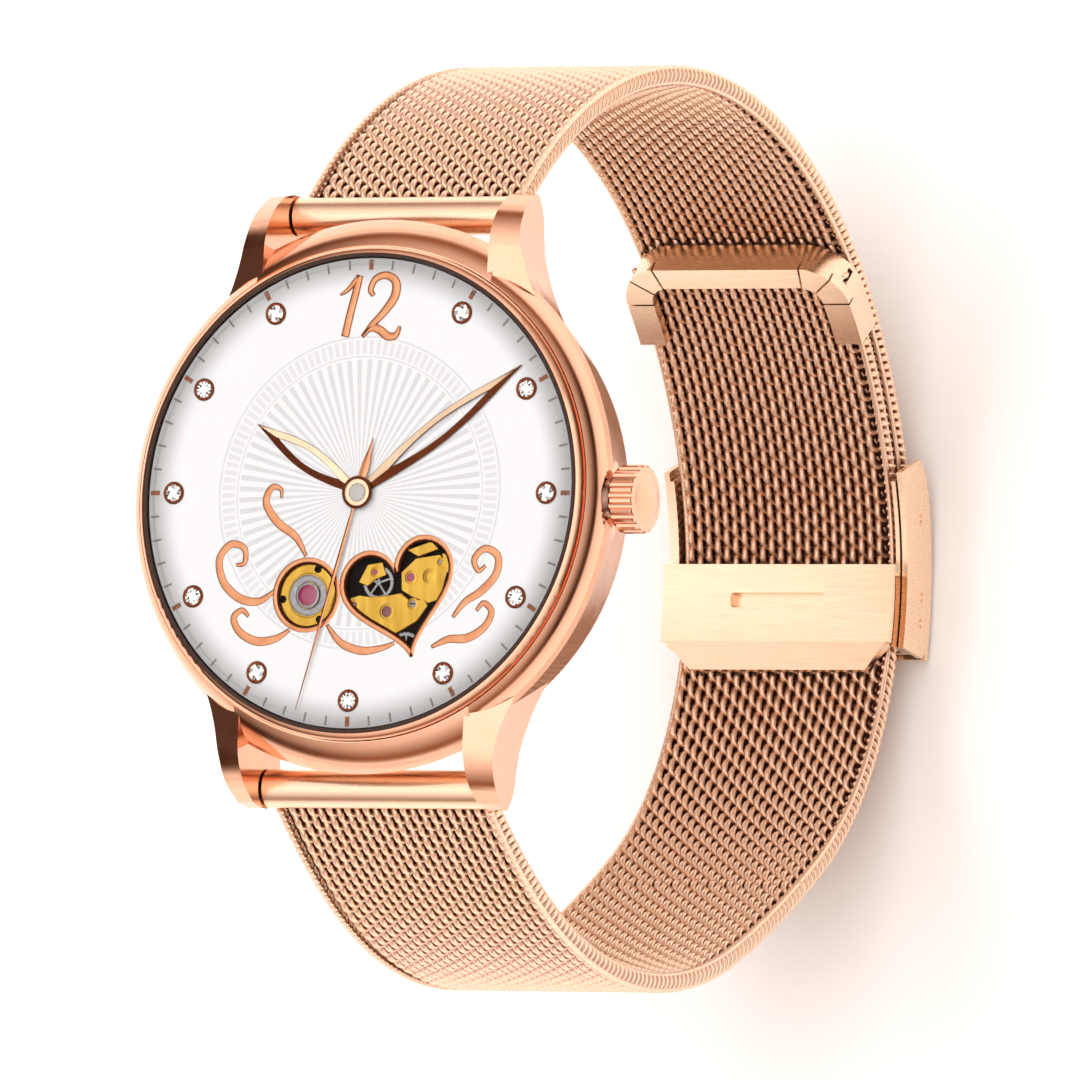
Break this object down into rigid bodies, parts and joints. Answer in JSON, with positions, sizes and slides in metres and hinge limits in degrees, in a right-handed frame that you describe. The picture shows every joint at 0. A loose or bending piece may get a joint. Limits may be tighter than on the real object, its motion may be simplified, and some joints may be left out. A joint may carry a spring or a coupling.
{
  "type": "smartwatch",
  "caption": "Round rose-gold smartwatch with an analogue-style dial on a woven steel mesh band with a sliding clasp, closed as worn.",
  "frame": {"origin": "centre of the sensor window's flat outer face, which rests on the wrist", "axes": "+Z out of the dial, +X to 3 o'clock on the crown's side, +Y to 12 o'clock"},
  "size_m": [0.0438, 0.0731, 0.0814],
  "materials": {
    "rose_gold_case": "polished rose-gold plated steel",
    "rose_gold_mesh": "woven rose-gold plated steel wire",
    "rose_gold_clasp": "satin-polished rose-gold plated steel",
    "clear_glass": "clear mineral glass, polished",
    "sensor_glass": "black-tinted sensor glass",
    "black_rubber": "moulded silicone rubber",
    "display_black": "black display laminate",
    "dial_white": "white dial artwork of the display",
    "gold_hands": "rose-gold hands of the dial artwork",
    "circuit_board": "green solder mask",
    "chip_black": "moulded chip packages",
    "battery_foil": "aluminium laminate pouch",
    "black_plastic": "moulded black polycarbonate",
    "polyimide": "amber flexible circuit",
    "steel": "turned stainless steel",
    "contact_gold": "gold-plated brass"
  },
  "bodies": {
    "case": {"mid_case": "rose_gold_case", "bezel_ring": "rose_gold_case", "cover_glass": "clear_glass", "glass_gasket": "black_rubber", "display_panel": "display_black", "display_frame": "black_plastic", "display_flex": "polyimide", "dial_face": "dial_white", "hand_post": "gold_hands", "main_board": "circuit_board", "board_chips": "chip_black", "battery": "battery_foil", "battery_tray": "black_plastic", "vibration_motor": "steel", "case_back": "rose_gold_case", "back_gasket": "black_rubber", "case_screws": "steel", "sensor_window": "sensor_glass", "sensor_board": "circuit_board", "optical_sensors": "chip_black", "charging_contacts": "contact_gold", "contact_insulators": "black_plastic", "charging_magnets": "steel", "crown_tube": "steel", "crown_switch": "black_plastic", "switch_board": "circuit_board", "spring_bar_tubes": "steel", "spring_bar_pins": "steel", "spring_bar_springs": "steel"},
    "crown_plunger": {"crown_stem": "steel", "crown_seal": "black_rubber", "crown_clip": "steel"},
    "crown": {"crown_knob": "rose_gold_case", "crown_cap": "rose_gold_case"},
    "hour_hand": {"hour_hand": "gold_hands"},
    "minute_hand": {"minute_hand": "gold_hands"},
    "second_hand": {"second_hand": "gold_hands"},
    "upper_strap": {"upper_strap_tube": "rose_gold_clasp", "upper_mesh_strap": "rose_gold_mesh", "strap_end_block": "rose_gold_clasp"},
    "lower_strap": {"lower_strap_tube": "rose_gold_clasp", "lower_mesh_strap": "rose_gold_mesh", "strap_tip": "rose_gold_clasp"},
    "clasp_slider": {"clasp_slider": "rose_gold_clasp", "latch_bar": "rose_gold_clasp", "lock_plate_pin": "steel"},
    "lock_plate": {"lock_plate": "rose_gold_clasp"},
    "clasp_cover": {"clasp_cover": "rose_gold_clasp", "cover_pin": "rose_gold_clasp", "cover_rivets": "rose_gold_clasp"}
  },
  "joints": [
    {"name": "upper_strap_hinge", "type": "hinge", "parent": "case", "child": "upper_strap", "pos_m": [0, 0.02225, 0.004], "axis": [1, 0, 0], "range_deg": [0, 80]},
    {"name": "lower_strap_hinge", "type": "hinge", "parent": "case", "child": "lower_strap", "pos_m": [0, -0.02225, 0.004], "axis": [-1, 0, 0], "range_deg": [0, 40]},
    {"name": "clasp_slide", "type": "hinge", "parent": "lower_strap", "child": "clasp_slider", "pos_m": [0, -0.0001, -0.03969], "axis": [-1, 0, 0], "range_deg": [0, 30]},
    {"name": "lock_plate_hinge", "type": "hinge", "parent": "clasp_slider", "child": "lock_plate", "pos_m": [0, 0.00277, -0.06488], "axis": [-1, 0, 0], "range_deg": [0, 65]},
    {"name": "clasp_cover_hinge", "type": "hinge", "parent": "upper_strap", "child": "clasp_cover", "pos_m": [0, 0.00967, -0.06726], "axis": [1, 0, 0], "range_deg": [0, 60]},
    {"name": "crown_press", "type": "slide", "parent": "case", "child": "crown_plunger", "axis": [-1, 0, 0], "range_m": [0, 0.0006], "stiffness_N_per_m": 1000},
    {"name": "crown_turn", "type": "hinge", "parent": "crown_plunger", "child": "crown", "pos_m": [0.0215, 0, 0.006], "axis": [1, 0, 0], "continuous": true},
    {"name": "minute_hand_turn", "type": "hinge", "parent": "case", "child": "minute_hand", "pos_m": [0, 0, 0.0104], "axis": [0, 0, -1], "continuous": true},
    {"name": "hour_hand_turn", "type": "hinge", "parent": "case", "child": "hour_hand", "pos_m": [0, 0, 0.01028], "axis": [0, 0, -1], "continuous": true},
    {"name": "second_hand_turn", "type": "hinge", "parent": "case", "child": "second_hand", "pos_m": [0, 0, 0.01052], "axis": [0, 0, -1], "continuous": true}
  ],
  "couplings": [
    {"joint": "lower_strap_hinge", "follows": "upper_strap_hinge", "ratio": 0.5},
    {"joint": "hour_hand_turn", "follows": "minute_hand_turn", "ratio": 0.083333}
  ]
}
